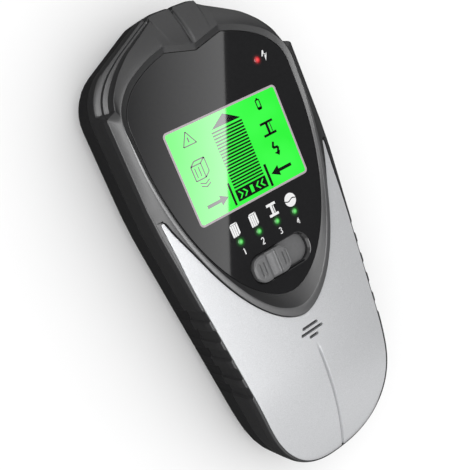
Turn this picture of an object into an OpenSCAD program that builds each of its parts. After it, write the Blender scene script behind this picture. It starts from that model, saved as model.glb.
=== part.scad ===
// Hand-held wall scanner (stud finder) with a display, a mode slider, a scan button
// and a 9 V block battery behind a hinged door. It lies on its back:
// X is across, +Y points to the nose, +Z comes out of the front face.

/* [Case] */
// Length from nose to tail
body_l = 155; // [155:1:200]
// Width across the head
body_w = 70.2; // [70:0.2:90]
// Wall of the back casing
wall = 2; // [1.6:0.1:2.4]
// Wall of the front casing
front_wall = 1.8; // [1.4:0.1:2.2]
// Height of the joint between the two casings
split_z = 14; // [13:0.5:15]
// Half width of the flat nose
nose_half_w = 8.1; // [6:0.1:10]
// Radius of the head's shoulders
head_r = 16; // [10:1:18]
// Distance from the nose down to the virtual shoulder corner
head_slope_l = 14.3; // [10:0.1:18]
// Distance from the nose to where the sides start to taper
nose_to_taper = 56.1; // [50:0.1:70]
// Taper of each side, mm per mm of length
side_taper = 0.105; // [0.06:0.005:0.12]
// Length of the rounded tail
tail_l = 27.5; // [20:0.5:35]
// Fullness of the tail curve, 2 is an ellipse
tail_power = 2.4; // [2:0.1:3]
// Rounding of the back edges
back_round = 6.5; // [3:0.5:8]
// Width of the bevel round the front rim
rim_w = 0.9; // [0.5:0.1:1.4]
// Height of that bevel
rim_h = 4.1; // [3:0.1:5]

/* [Front face] */
// Radius of the crown across the front
crown_r = 300; // [200:10:500]
// Radius of the fall towards the tail
tail_fall_r = 82; // [60:1:120]
// Length of the fall towards the tail
tail_fall_l = 39.5; // [30:0.5:50]
// Radius of the fall towards the nose
nose_fall_r = 30; // [20:1:60]
// Length of the fall towards the nose
nose_fall_l = 15.5; // [10:0.5:20]
// Depth of the window below the top of the crown
window_drop = 0.8; // [0.4:0.1:1.2]
// Half width of the window
window_half_w = 30.1; // [29:0.1:31]
// Distance from the nose to the tips of the window's notched top
nose_to_window = 11.9; // [11:0.1:16]
// Length of the window from those tips to its lower point
window_l = 82.2; // [78:0.1:84]
// Width of the bezel round the window
bezel_w = 1.7; // [1:0.1:2]
// Extra length of the bezel below the window
bezel_chin = 8.1; // [6:0.1:10]
// Thickness of the clear window
lens_t = 2; // [1.5:0.1:2.5]
// Thickness of the silver cover
cover_t = 1.2; // [1:0.1:1.5]
// Gap round the silver cover
cover_gap = 0.3; // [0.2:0.05:0.5]
// Distance from the nose to the upper tips of the silver cover
nose_to_cover = 56; // [54:0.5:60]

/* [Display] */
// Width of the display frame
lcd_w = 43.1; // [34:0.1:44]
// Height of the display frame
lcd_h = 29.9; // [24:0.1:31]
// Wall of the display frame
lcd_rim = 0.65; // [0.5:0.05:1]
// Thickness of the display glass
lcd_t = 1.8; // [1.4:0.1:2]
// Distance from the nose to the middle of the display
nose_to_lcd = 47.8; // [46:0.1:50]
// Spacing of the four mode lamps
lamp_pitch = 7.4; // [6:0.1:8]
// Distance from the nose to the mode lamps
nose_to_lamps = 71.9; // [70:0.1:73]
// Radius of a light pipe
pipe_r = 1.1; // [0.8:0.1:1.4]

/* [Controls] */
// Length of the mode knob
knob_l = 14.2; // [12:0.1:16]
// Width of the mode knob
knob_w = 8.4; // [7:0.1:9]
// Travel of the mode knob, three steps
knob_travel = 8.4; // [6:0.3:10.2]
// Height of the knob above the window
knob_rise = 1.9; // [1.5:0.1:2.5]
// Clearance round moving parts
run_gap = 0.3; // [0.2:0.05:0.4]
// Distance from the nose to the middle of the knob
nose_to_knob = 82.9; // [82:0.1:86]
// Length of the scan button
button_l = 15.4; // [12:0.1:18]
// Height of the scan button
button_h = 7.4; // [6:0.1:8]
// How far the scan button stands out
button_rise = 1; // [0.6:0.1:1.4]
// Travel of the scan button
button_travel = 0.8; // [0.4:0.1:1]
// Distance from the nose to the middle of the scan button
nose_to_button = 69; // [66:0.5:72]

/* [Battery] */
// Length of the battery body without its terminals
battery_l = 46.4; // [46:0.1:47]
// Width of the battery
battery_w = 26.5; // [26:0.1:27]
// Thickness of the battery
battery_t = 17.5; // [17:0.1:21]
// Thickness of the battery door
door_t = 1.8; // [1.5:0.1:2]
// Width of the battery door
door_w = 32; // [30:0.5:34]
// Radius of the door's hinge barrel
barrel_r = 2.6; // [2.4:0.1:3]
// Radius of the door's hinge pins
pin_r = 1.2; // [1:0.05:1.4]
// Running clearance of the hinge pins
pin_gap = 0.08; // [0.03:0.01:0.1]
// Thickness of the foam pad in the door
pad_t = 0.4; // [0.3:0.1:0.6]

/* [Sensors] */
// Outer radius of the metal sensing coil
coil_r = 21; // [16:0.5:22]
// Width of the coil's winding
coil_w = 4; // [3:0.5:6]
// Height of the coil's winding
coil_h = 3.6; // [3:0.1:5]
// Radius of the buzzer
buzzer_r = 10; // [8:0.5:12]
// Thickness of the buzzer
buzzer_t = 2.4; // [2:0.1:3]
// Distance from the nose to the middle of the buzzer
nose_to_buzzer = 108.6; // [106:0.1:112]

/* [Grip] */
// Grooves on each side
grip_count = 5; // [3:1:6]
// Spacing of the grooves
grip_pitch = 7; // [6:0.5:8]
// Radius of a groove
groove_r = 2.6; // [2:0.1:3]
// Depth of a groove
groove_d = 0.9; // [0.5:0.1:1.2]

/* [Hidden] */
$fn = 48;

head_y = body_l / 2;
tail_y = -body_l / 2;
half_w = body_w / 2;
taper_y = head_y - nose_to_taper;
big = 200;

// Heights, stacked from the door up to the crown
battery_z = door_t + pad_t + 0.1;
roof_z = battery_z + battery_t + 0.8;
roof_t = 0.8;
buzzer_z = roof_z + roof_t + 0.1;
skin_z = buzzer_z + buzzer_t + 0.3;
crown_z = skin_z + front_wall + cover_t;
window_z = crown_z - window_drop;
lens_z = window_z - lens_t;
mask_t = 0.2;
mask_z = lens_z - mask_t - 0.05;
pcb_t = 1.6;
pcb_z = lens_z - 5.3 - pcb_t;
pcb_top = pcb_z + pcb_t;

// Places along the body
lcd_y = head_y - nose_to_lcd;
lamp_y = head_y - nose_to_lamps;
knob_y = head_y - nose_to_knob;
button_y = head_y - nose_to_button;
buzzer_y = head_y - nose_to_buzzer;
first_groove_y = taper_y - 31;
cover_y = head_y - nose_to_cover;
warning_lamp = [19, head_y - 24.2];
window_y = head_y - nose_to_window;
coil_y = head_y - 31.5;

// Battery bay and door
sensor_z = 4.05;
hinge_y = tail_y + 11.5;
battery_y = hinge_y + barrel_r + 0.9;
terminal_h = 2.1;
door_end_y = hinge_y + 55.5;
bay_top_y = tail_y + 30;
bay_half_w = door_w / 2 + 0.5;
bay_wall = 1.5;

// Fastenings: [x, y]
head_screw = [28.8, head_y - 27.5];
tail_screw = [21.4, tail_y + 19.5];
screw_places = [for (s = [-1, 1]) for (p = [head_screw, tail_screw]) [s * p[0], p[1]]];
screw_r = 1.25;
screw_gap = 0.05;
screw_head_r = 2.5;
post_r = 3.8;
pcb_screw_places = [for (s = [-1, 1]) for (y = [22, 38]) [s * 27, y + head_y - 77.5]];
small_screw_r = 0.9;
sensor_screw_places = [for (s = [-1, 1]) [s * 20, head_y - 60]];
cover_pin_r = 0.9;
cover_pin = [24.5, head_y - 99.5];
cover_tail_pin = [15.5, tail_y + 10.5];
cover_pins = [for (s = [-1, 1]) for (p = [cover_pin, cover_tail_pin]) [s * p[0], p[1]]];

// Outline helpers
function unit(v) = v / norm(v);
function inset(p, d) = let (n = len(p)) [
  for (i = [0:n - 1])
    let (a = unit(p[i] - p[(i + n - 1) % n]), b = unit(p[(i + 1) % n] - p[i]), m = unit(a + b))
    p[i] + d / (m * a) * [-m[1], m[0]]
];
function rounded(a, c, b, r, steps = 5) =
  let (u = unit(a - c), v = unit(b - c), half = acos(u * v) / 2,
       o = c + unit(u + v) * r / sin(half), s = c + u * r / tan(half) - o,
       start = atan2(s[1], s[0]), turn = (180 - 2 * half) * sign(cross(c - a, b - c)))
  [for (i = [0:steps]) o + r * [cos(start + turn * i / steps), sin(start + turn * i / steps)]];
function mirrored(p) = concat(p, [for (i = [len(p) - 1:-1:0]) if (p[i][0] > 0.001) [-p[i][0], p[i][1]]]);

// Outline of the case: superellipse tail, tapering sides, sloped shoulders, flat nose
function side_x(y) = half_w - side_taper * max(0, taper_y - y);
tail_curve = [
  for (i = [0:9])
    let (a = i * 10, y = tail_y + tail_l - tail_l * pow(cos(a), 2 / tail_power))
    [side_x(y) * pow(sin(a), 2 / tail_power), y]
];
shoulder = [half_w, head_y - head_slope_l];
nose_corner = [nose_half_w, head_y];
case_outline = mirrored(concat(
  tail_curve,
  rounded(tail_curve[9], [half_w, taper_y], shoulder, 150, 3),
  rounded([half_w, 0], shoulder, nose_corner, head_r, 7),
  rounded(shoulder, nose_corner, [0, head_y], 10, 3)));

// Outline of the window, and of the bezel round it: notched top, pointed bowl below
function bowl(half, top_y, length, power) = [
  for (i = [0:12])
    let (a = i * 7.5)
    [half * pow(sin(a), 2 / power), top_y - length * pow(cos(a), 2 / power)]
];
window_side_y = window_y - 25.6;
function pane(half, tip_y, low_y, power) =
  let (corner = [half, tip_y - 6.9], tip = [10.3, tip_y])
  mirrored(concat(
    bowl(half, window_side_y, window_side_y - low_y, power),
    rounded([half, window_side_y], corner, tip, 13, 6),
    rounded(corner, tip, [0, tip_y - 2.5], 2.4, 3),
    [[0, tip_y - 2.5]]));
window_outline = pane(window_half_w, window_y, window_y - window_l, 1.87);
bezel_outline = pane(window_half_w + bezel_w, window_y + bezel_w, window_y - window_l - bezel_chin, 1.77);
cover_inset = rim_w + 0.5;
cover_outline = inset(case_outline, cover_inset);

// A solid through outlines, one above another: rings are [height, inset]
module loft(outline, rings) {
  n = len(outline);
  m = len(rings);
  points = [for (r = rings) for (p = inset(outline, r[1])) [p[0], p[1], r[0]]];
  sides = [for (k = [0:m - 2]) for (i = [0:n - 1])
    [k * n + i, (k + 1) * n + i, (k + 1) * n + (i + 1) % n, k * n + (i + 1) % n]];
  polyhedron(points, concat([[for (i = [0:n - 1]) i]], sides, [[for (i = [n - 1:-1:0]) (m - 1) * n + i]]));
}
module slab(outline, z0, z1) translate([0, 0, z0]) linear_extrude(z1 - z0) polygon(outline);
module plate(w, l, t, r = 1) linear_extrude(t) round_rect(w, l, r);
module round_rect(w, l, r) {
  union() {
    square([w - 2 * r, l], center = true);
    square([w, l - 2 * r], center = true);
    for (x = [-1, 1]) for (y = [-1, 1]) translate([x * (w / 2 - r), y * (l / 2 - r)]) circle(r, $fn = 24);
  }
}
module block(x0, x1, y0, y1, z0, z1) translate([x0, y0, z0]) cube([x1 - x0, y1 - y0, z1 - z0]);

// Everything below the front surface, lowered by off
module crown_profile(off) {
  intersection() {
    translate([0, -crown_r]) circle(crown_r - off, $fn = 360);
    translate([-50, -40]) square([100, 50]);
  }
}
module barrel_profile(r, off) {
  intersection() {
    translate([r - crown_r, 0]) circle(crown_r - off, $fn = 360);
    translate([0, -50]) square([r + 1, 100]);
  }
}
module barrel(y, r, off) {
  translate([0, y, crown_z - r]) rotate([0, 90, 0]) rotate_extrude($fn = 180) barrel_profile(r, off);
}
module under_front(off) {
  tail_fall_y = tail_y + tail_fall_l;
  nose_fall_y = head_y - nose_fall_l;
  union() {
    translate([0, nose_fall_y, crown_z]) rotate([90, 0, 0])
      linear_extrude(nose_fall_y - tail_fall_y) crown_profile(off);
    intersection() {
      barrel(tail_fall_y, tail_fall_r, off);
      block(-50, 50, tail_y - 10, tail_fall_y + 0.01, -10, crown_z + 5);
    }
    intersection() {
      barrel(nose_fall_y, nose_fall_r, off);
      block(-50, 50, nose_fall_y - 0.01, head_y + 10, crown_z - nose_fall_r, crown_z + 5);
    }
  }
}

// Cuts shared by both casings
module grip_grooves() {
  for (s = [-1, 1]) for (i = [0:grip_count - 1]) {
    y = first_groove_y - i * grip_pitch;
    translate([s * (side_x(y) + groove_r - groove_d), y, 4]) cylinder(r = groove_r, h = big, $fn = 32);
  }
}
module marking_groove() {
  translate([0, head_y + 0.6, -1]) rotate([0, 0, 45]) translate([-0.9, -0.9, 0]) cube([1.8, 1.8, big]);
}
module button_window() {
  translate([half_w - 8, button_y, split_z + 1]) rotate([0, 90, 0])
    plate(button_h + 2 * run_gap, button_l + 2 * run_gap, 12, 2);
}

module back_skin() {
  loft(case_outline, [[0, back_round], [0.9, back_round * 0.52], [3, back_round * 0.2],
    [6.5, 0.2], [split_z, 0]]);
}
module bay_and_posts() {
  for (s = [-1, 1]) mirror([s > 0 ? 0 : 1, 0, 0]) {
    block(bay_half_w, bay_half_w + bay_wall, hinge_y - 3.6, door_end_y + 0.5, wall - 0.1, split_z);
    block(bay_half_w, bay_half_w + bay_wall + 1, hinge_y - 3.6, hinge_y + 3.6, wall - 0.1, 7);
  }
  block(-bay_half_w - bay_wall, bay_half_w + bay_wall, hinge_y - 5, hinge_y - 3.6, wall - 0.1, 12);
  for (p = screw_places) translate([p[0], p[1], 0]) cylinder(r = post_r, h = split_z);
  for (p = sensor_screw_places) translate([p[0], p[1], wall - 0.1]) cylinder(r = 2.2, h = sensor_z - wall);
}
module back_shell() {
  bay_top_l = door_end_y - 0.5 - bay_top_y;
  color([0.1, 0.1, 0.1]) difference() {
    union() {
      difference() {
        back_skin();
        loft(case_outline, [[wall, back_round + 0.5], [wall + 1, wall + back_round * 0.42],
          [5, wall + back_round * 0.16], [8, wall + 0.2], [split_z + 1, wall]]);
      }
      intersection() {
        back_skin();
        bay_and_posts();
      }
      translate([-bay_half_w - bay_wall, bay_top_y, roof_z])
        cube([2 * (bay_half_w + bay_wall), bay_top_l, roof_t]);
      for (x = [-bay_half_w - bay_wall, bay_half_w])
        translate([x, bay_top_y, split_z - 1]) cube([bay_wall, bay_top_l, roof_z - split_z + 1.2]);
    }
    block(-door_w / 2 - run_gap, door_w / 2 + run_gap, hinge_y, door_end_y + run_gap, -1, wall + 0.01);
    block(-door_w / 2 - run_gap, door_w / 2 + run_gap, hinge_y - barrel_r - run_gap, hinge_y, -1, barrel_r);
    translate([-door_w / 2 - run_gap, hinge_y, barrel_r]) rotate([0, 90, 0])
      cylinder(r = barrel_r + run_gap, h = door_w + 2 * run_gap);
    translate([-bay_half_w - 3, hinge_y, barrel_r]) rotate([0, 90, 0])
      cylinder(r = pin_r + pin_gap, h = 2 * bay_half_w + 6);
    for (p = screw_places) translate([p[0], p[1], -1]) {
      cylinder(r = screw_head_r + 0.3, h = 6);
      cylinder(r = screw_r + 0.25, h = big);
    }
    for (p = sensor_screw_places) translate([p[0], p[1], 1]) cylinder(r = small_screw_r + screw_gap, h = 4);
    grip_grooves();
    marking_groove();
    button_window();
  }
}

module front_bosses() {
  for (p = screw_places) translate([p[0], p[1], split_z]) cylinder(r = 2.8, h = crown_z - split_z);
  for (p = pcb_screw_places) translate([p[0], p[1], pcb_top]) cylinder(r = 2.2, h = lens_z - pcb_top - 0.2);
}
recess_depth = 3.6;
module head_backing() {
  intersection() {
    difference() {
      slab(inset(case_outline, wall - 0.1), split_z, big);
      slab(inset(case_outline, recess_depth + front_wall), 0, big + 1);
    }
    block(-big, big, head_y - 24, big, 0, big);
    under_front(cover_t + 1);
  }
}
module head_recess() {
  for (s = [-1, 1]) mirror([s > 0 ? 0 : 1, 0, 0]) difference() {
    block(nose_half_w + 0.5, big, head_y - 22.2, big, crown_z - 7.8, big);
    slab(inset(case_outline, recess_depth), 0, big);
  }
}
module speaker_slots() {
  for (s = [[1.8, 6.6], [0, 9.2], [-1.8, 3.8]])
    translate([0, buzzer_y + s[0], skin_z - 1]) plate(s[1], 0.7, 10, 0.34);
}
module cover_pocket() {
  difference() {
    intersection() {
      slab(inset(case_outline, cover_inset - cover_gap), split_z, big);
      block(-big, big, tail_y - 5, cover_y + 0.8, split_z, big);
    }
    under_front(cover_t);
    slab(bezel_outline, 0, big + 1);
  }
}
module front_shell() {
  color([0.16, 0.16, 0.165]) difference() {
    union() {
      difference() {
        union() {
          intersection() {
            loft(case_outline, [[split_z, 0], [crown_z - rim_w - rim_h, 0], [crown_z - rim_w - 0.9, rim_w],
              [crown_z + 4, rim_w + 0.2]]);
            under_front(0);
          }
          intersection() {
            slab(bezel_outline, split_z + 1, big);
            bezel_wedge();
          }
        }
        cover_pocket();
        slab(inset(window_outline, 1.6), 0, big);
        intersection() {
          loft(case_outline, [[split_z - 1, wall], [crown_z - rim_w - rim_h, wall],
            [crown_z - rim_w - 0.9, wall + rim_w], [crown_z + 4, wall + rim_w]]);
          under_front(cover_t + front_wall);
        }
      }
      intersection() {
        difference() {
          slab(inset(window_outline, -1.5), lens_z - 1.6, lens_z);
          slab(inset(window_outline, 1.6), 0, big);
        }
        slab(inset(case_outline, 1), 0, big);
      }
      intersection() {
        front_bosses();
        under_front(cover_t + 1);
      }
      head_backing();
      difference() {
        translate([0, buzzer_y, buzzer_z + 0.2]) cylinder(r = buzzer_r + 1.3, h = skin_z - buzzer_z);
        translate([0, buzzer_y, 0]) cylinder(r = buzzer_r + 0.2, h = big);
        block(-5, 5, buzzer_y, buzzer_y + buzzer_r + 5, 0, skin_z);
      }
    }
    slab(inset(window_outline, -0.15), lens_z, big);
    loft(window_outline, [[window_z, -0.15], [window_z + 2.2, -2.4]]);
    head_recess();
    grip_grooves();
    marking_groove();
    nose_crease();
    button_window();
    speaker_slots();
    for (p = screw_places) translate([p[0], p[1], 0]) cylinder(r = screw_r + screw_gap, h = crown_z - 6.5);
    for (p = pcb_screw_places) translate([p[0], p[1], 0])
      cylinder(r = small_screw_r + screw_gap, h = pcb_top + 3.7);
    for (p = cover_pins) translate([p[0], p[1], 0]) cylinder(r = cover_pin_r + 0.1, h = crown_z - 0.5);
  }
}
module bezel_wedge() {
  top_y = cover_y - 1.5;
  low_y = window_y - window_l - bezel_chin;
  rotate([90, 0, 90]) linear_extrude(body_w, center = true)
    polygon([[low_y - 5, 0], [head_y, 0], [head_y, window_z + 0.2], [top_y, window_z + 0.2],
      [low_y, window_z + 1.6], [low_y - 5, window_z + 1.6]]);
}
module nose_crease() {
  for (s = [0, 1]) mirror([s, 0, 0]) translate([0, window_y, crown_z - 0.5]) rotate([-12, 0, 0])
    rotate([0, 45, 0]) block(-0.5, 0.5, 0, 16, -0.5, 0.5);
}

module silver_cover() {
  color([0.8, 0.8, 0.8]) union() {
    difference() {
      intersection() {
        slab(cover_outline, split_z, big);
        under_front(0);
      }
      under_front(cover_t);
      slab(inset(bezel_outline, -cover_gap), 0, big);
      block(-big, big, cover_y, big, 0, big);
      speaker_slots();
      difference() {
        block(-0.3, 0.3, tail_y - 1, tail_y + 39.8, split_z, big);
        under_front(0.4);
      }
    }
    intersection() {
      union() {
        for (p = cover_pins) translate([p[0], p[1], crown_z - 9.5]) cylinder(r = cover_pin_r, h = 9.5);
      }
      difference() {
        under_front(cover_t - 0.2);
        under_front(cover_t + front_wall + 0.6);
      }
    }
  }
}

slot_l = knob_l + knob_travel + 2 * run_gap;
slot_w = knob_w + 2 * run_gap + 0.2;
knob_x = -slot_l / 2 + run_gap;
module slot_shape(grow = 0) translate([0, knob_y]) round_rect(slot_l + grow, slot_w + grow, 3);
module window_lens() {
  color([0.1, 0.1, 0.11, 0.4]) difference() {
    slab(window_outline, lens_z, window_z);
    translate([0, 0, lens_z - 1]) linear_extrude(lens_t + 2) slot_shape();
  }
}
module lamp_holes(r) {
  for (i = [0:3]) translate([(i - 1.5) * lamp_pitch, lamp_y]) circle(r, $fn = 24);
  translate(warning_lamp) circle(r, $fn = 24);
}
module window_mask() {
  color([0.02, 0.02, 0.02]) difference() {
    slab(inset(window_outline, 1.75), mask_z, mask_z + mask_t);
    translate([0, 0, mask_z - 1]) linear_extrude(3) {
      slot_shape(0.4);
      translate([0, lcd_y]) square([lcd_w + 0.2, lcd_h + 0.2], center = true);
      lamp_holes(pipe_r + 0.1);
    }
  }
}

lcd_gap = 0.1;
glass_w = lcd_w - 2 * lcd_rim - 2 * lcd_gap;
glass_h = lcd_h - 2 * lcd_rim - 2 * lcd_gap;
glass_z = lens_z - 0.3 - lcd_t;
light_t = 1.9;
module lcd_frame() {
  color([0.7, 0.7, 0.68]) translate([0, lcd_y, pcb_top + 0.1]) difference() {
    plate(lcd_w, lcd_h, lens_z - pcb_top - 0.2, 1.5);
    translate([0, 0, -1]) plate(lcd_w - 2 * lcd_rim, lcd_h - 2 * lcd_rim, 20, 0.9);
  }
}
module lcd_glass() color([0.2, 0.9, 0.25]) translate([0, lcd_y, glass_z]) plate(glass_w, glass_h, lcd_t, 0.8);
module lcd_backlight() {
  color([0.9, 0.95, 0.9]) translate([0, lcd_y, glass_z - 0.1 - light_t])
    plate(glass_w, glass_h - 5, light_t, 0.5);
}
module zebra_strips() {
  color([0.4, 0.4, 0.42]) for (s = [-1, 1])
    translate([0, lcd_y + s * (glass_h / 2 - 1.2), pcb_top + 0.1])
      plate(glass_w - 3, 1.6, glass_z - pcb_top - 0.2, 0.3);
}

module main_pcb() {
  pcb_outline = mirrored([[0, knob_y - 3.9], [14, knob_y - 3.9], [25.2, lamp_y - 6], [27.7, lamp_y + 4],
    [27.7, lamp_y + 12.8], [28.6, lamp_y + 14], [28.6, lcd_y + 12], [24.6, lcd_y + 15.5],
    [24.6, head_y - 20], [17, head_y - 15.2], [0, head_y - 15.2]]);
  color([0.05, 0.35, 0.15]) difference() {
    slab(pcb_outline, pcb_z, pcb_top);
    for (p = pcb_screw_places) translate([p[0], p[1], 0]) cylinder(r = small_screw_r + 0.2, h = big);
  }
}
module mcu_chip() color([0.08, 0.08, 0.08]) translate([0, lcd_y + 2, pcb_z - 1.6]) plate(10, 10, 1.5, 0.3);
module crystal() color([0.75, 0.75, 0.75]) translate([12, lcd_y + 2, pcb_z - 3.7]) plate(4.5, 10.5, 3.6, 1.8);
module capacitor() {
  color([0.1, 0.15, 0.3]) translate([-14, lcd_y - 4, pcb_z - 7.1]) {
    cylinder(r = 3.1, h = 6.4);
    translate([0, 0, 6.4]) plate(6.6, 6.6, 0.6, 0.5);
  }
}
module mode_leds() {
  color([0.5, 1, 0.5]) for (i = [0:3])
    translate([(i - 1.5) * lamp_pitch, lamp_y, pcb_top + 0.05]) plate(2, 1.6, 0.8, 0.2);
}
module light_pipes() {
  color([0.6, 1, 0.6]) {
    for (i = [0:3]) translate([(i - 1.5) * lamp_pitch, lamp_y, pcb_top + 1])
      cylinder(r = pipe_r, h = lens_z - pcb_top - 1.1, $fn = 24);
    translate([0, lamp_y + 1.6, pcb_top + 1.6]) plate(3 * lamp_pitch + 2, 1.8, 1, 0.4);
  }
}
module warning_led() {
  color([1, 0.4, 0.4]) translate([warning_lamp[0], warning_lamp[1], pcb_top + 0.05]) plate(2, 1.6, 0.8, 0.2);
}
module warning_light_pipe() {
  color([1, 0.2, 0.2]) translate([warning_lamp[0], warning_lamp[1], pcb_top + 1]) {
    cylinder(r = pipe_r, h = lens_z - pcb_top - 1.1, $fn = 24);
    cylinder(r = pipe_r + 0.7, h = 1, $fn = 24);
  }
}

// Mode slider: the knob's shutter plate closes the slot from below
shutter_z = lens_z - 2.8;
shutter_t = 1;
switch_x = knob_x + knob_l / 2;
module mode_knob() {
  shutter_l = slot_l + knob_travel + 1.2;
  color([0.4, 0.4, 0.4]) difference() {
    union() {
      translate([knob_x + knob_l / 2, knob_y, shutter_z + 0.5])
        plate(knob_l, knob_w, window_z + knob_rise - shutter_z - 0.5, 2.8);
      translate([-knob_travel / 2, knob_y, shutter_z]) plate(shutter_l, slot_w + 1.2, shutter_t, 1);
      translate([switch_x, knob_y, shutter_z - 0.35]) plate(5, 4, 0.5, 0.5);
    }
    translate([knob_x + knob_l * 0.52, knob_y, window_z + knob_rise + 7.6]) rotate([90, 0, 0])
      cylinder(r = 8.8, h = 20, center = true);
    for (x = [0.15, 0.26, 0.82, 0.92]) translate([knob_x + knob_l * x, knob_y, window_z + knob_rise - 0.5])
      plate(0.6, knob_w * 0.55, 2, 0.28);
    translate([switch_x, knob_y, shutter_z - 1]) plate(2.1, 1.7, 1.6, 0.3);
  }
}
module mode_switch_slider() {
  color([0.85, 0.85, 0.8]) translate([switch_x, knob_y, pcb_top + 0.7]) {
    plate(3.4, 2.2, 0.6, 0.3);
    plate(2, 1.6, shutter_z + 0.5 - pcb_top - 0.7, 0.3);
  }
}
module mode_switch_body() {
  track = 3.4 + knob_travel + 2 * run_gap;
  color([0.75, 0.75, 0.78]) translate([0, knob_y, pcb_top + 0.02]) difference() {
    translate([0, 0, 0]) plate(track + 3, 6, 2, 0.4);
    translate([0, 0, 0.36]) plate(track, 2.2 + 2 * run_gap, 1.24, 0.3);
    translate([0, 0, 0.36]) plate(2 + knob_travel + 2 * run_gap, 1.6 + 2 * run_gap, 5, 0.3);
  }
}

// Scan button on the right-hand side, and its switch on the board's edge
button_x = side_x(button_y) + button_rise;
button_z = split_z + 1;
tact_x = 25.4;
stub_out = 1.4;
stub_l = 2.6;
module scan_button() {
  color([0.12, 0.12, 0.12]) translate([0, button_y, button_z]) rotate([0, 90, 0]) {
    translate([0, 0, button_x - 5.2]) plate(button_h, button_l, 5.2, 1.8);
    translate([0, 0, button_x - 5.7]) plate(button_h + 2.4, button_l + 2.4, 1, 1.8);
    translate([0, 0, tact_x + stub_out]) cylinder(r = 1.6, h = button_x - 5.5 - tact_x - stub_out);
  }
}
module tact_switch_stub() {
  color([0.9, 0.85, 0.4]) translate([tact_x + stub_out - stub_l, button_y, button_z]) rotate([0, 90, 0])
    cylinder(r = 1, h = stub_l);
}
module tact_switch_body() {
  color([0.6, 0.6, 0.62]) difference() {
    block(tact_x - 4, tact_x, button_y - 3, button_y + 3, button_z - 2.4, pcb_z - 0.05);
    translate([tact_x - 2.8, button_y, button_z]) rotate([0, 90, 0]) cylinder(r = 1.3, h = 5);
  }
}

// Sensor board under the head
module sensor_board() {
  sensor_outline = mirrored([[0, head_y - 63.5], [24.3, head_y - 63.5], [24.3, head_y - 17],
    [14, head_y - 8.5], [0, head_y - 8.5]]);
  color([0.1, 0.3, 0.5]) difference() {
    slab(sensor_outline, sensor_z, sensor_z + 1.2);
    for (p = sensor_screw_places) translate([p[0], p[1], 0]) cylinder(r = small_screw_r + 0.2, h = 10);
  }
}
module coil_former() {
  color([0.85, 0.82, 0.75]) translate([0, coil_y, sensor_z + 1.25]) difference() {
    union() {
      cylinder(r = coil_r + 0.8, h = 0.6);
      cylinder(r = coil_r - coil_w - 0.05, h = coil_h + 0.7);
    }
    translate([0, 0, -1]) cylinder(r = coil_r - coil_w - 1.4, h = 10);
  }
}
module metal_coil() {
  color([0.75, 0.4, 0.15]) translate([0, coil_y, sensor_z + 1.9]) difference() {
    cylinder(r = coil_r, h = coil_h);
    translate([0, 0, -1]) cylinder(r = coil_r - coil_w, h = 10);
  }
}
module board_header() {
  color([0.1, 0.1, 0.1]) translate([0, head_y - 60, sensor_z + 1.25])
    plate(15.2, 2.5, pcb_z - sensor_z - 1.3, 0.3);
}

module buzzer() {
  color([0.85, 0.7, 0.35]) translate([0, buzzer_y, buzzer_z]) {
    cylinder(r = buzzer_r, h = 0.4);
    cylinder(r = buzzer_r * 0.75, h = buzzer_t);
  }
}

// A lead: a tube of radius r swept along a route
module lead(route, r) {
  n = len(route);
  sides = 8;
  dirs = [for (i = [0:n - 1]) unit(route[min(i + 1, n - 1)] - route[max(i - 1, 0)])];
  rings = [for (i = [0:n - 1])
    let (u = unit(cross(dirs[i], [0.31, 0.17, 0.93])), v = cross(dirs[i], u))
    for (k = [0:sides - 1]) route[i] + r * (cos(k * 45) * u + sin(k * 45) * v)];
  walls = [for (i = [0:n - 2]) for (k = [0:sides - 1]) for (half = [0, 1])
    let (a = i * sides + k, b = i * sides + (k + 1) % sides, c = b + sides, d = a + sides)
    half == 0 ? [a, b, c] : [a, c, d]];
  start_cap = [for (k = [sides - 1:-1:0]) k];
  end_cap = [for (k = [0:sides - 1]) (n - 1) * sides + k];
  polyhedron(rings, concat([start_cap], walls, [end_cap]));
}
function bezier(a, b, c, d, steps) = [for (i = [0:steps])
  let (t = i / steps, s = 1 - t) s * s * s * a + 3 * s * s * t * b + 3 * s * t * t * c + t * t * t * d];
snap_y = battery_y + battery_l + terminal_h + 0.1;
snap_t = 2;
battery_mid_z = battery_z + battery_t / 2;
module battery_lead(side) {
  start = [side * 5, snap_y + snap_t + 0.5, battery_mid_z];
  end = [side * 8, knob_y + 5, pcb_z - 0.1];
  lead(bezier(start, start + [0, 4, -3], end + [side * 2, 0, -8], end, 14), 0.65);
}
module lead_red() color([0.8, 0.05, 0.05]) battery_lead(1);
module lead_black() color([0.05, 0.05, 0.05]) battery_lead(-1);
module buzzer_leads() {
  color([0.9, 0.9, 0.2]) for (s = [-1, 1]) {
    start = [s * 2, buzzer_y + buzzer_r - 1.1, buzzer_z + 0.82];
    end = [s * 22.3, knob_y + 3.9, pcb_top + 0.5];
    lead(bezier(start, start + [s * 4, 6.5, 0], end + [s * 4.7, -15.5, 3], end, 12), 0.4);
  }
}

module battery_9v() {
  color([0.25, 0.25, 0.28]) translate([0, battery_y, battery_mid_z]) rotate([-90, 0, 0])
    plate(battery_w, battery_t, battery_l, 2.2);
}
module battery_terminals() {
  color([0.8, 0.8, 0.8]) translate([0, battery_y + battery_l, battery_mid_z]) rotate([-90, 0, 0]) {
    translate([6.35, 0, 0]) cylinder(r = 2.9, h = terminal_h);
    translate([-6.35, 0, 0]) difference() {
      cylinder(r = 4, h = terminal_h);
      translate([0, 0, 0.5]) cylinder(r = 3.1, h = 5);
    }
  }
}
module battery_snap() {
  color([0.1, 0.1, 0.1]) translate([0, snap_y, battery_mid_z]) rotate([-90, 0, 0]) {
    plate(25.6, 12.4, snap_t, 2);
    translate([6.35, 0, -1.8]) difference() {
      cylinder(r = 4.2, h = 2);
      translate([0, 0, -1]) cylinder(r = 3, h = 5);
    }
    translate([-6.35, 0, -1.5]) cylinder(r = 2.9, h = 1.6);
  }
}

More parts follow.
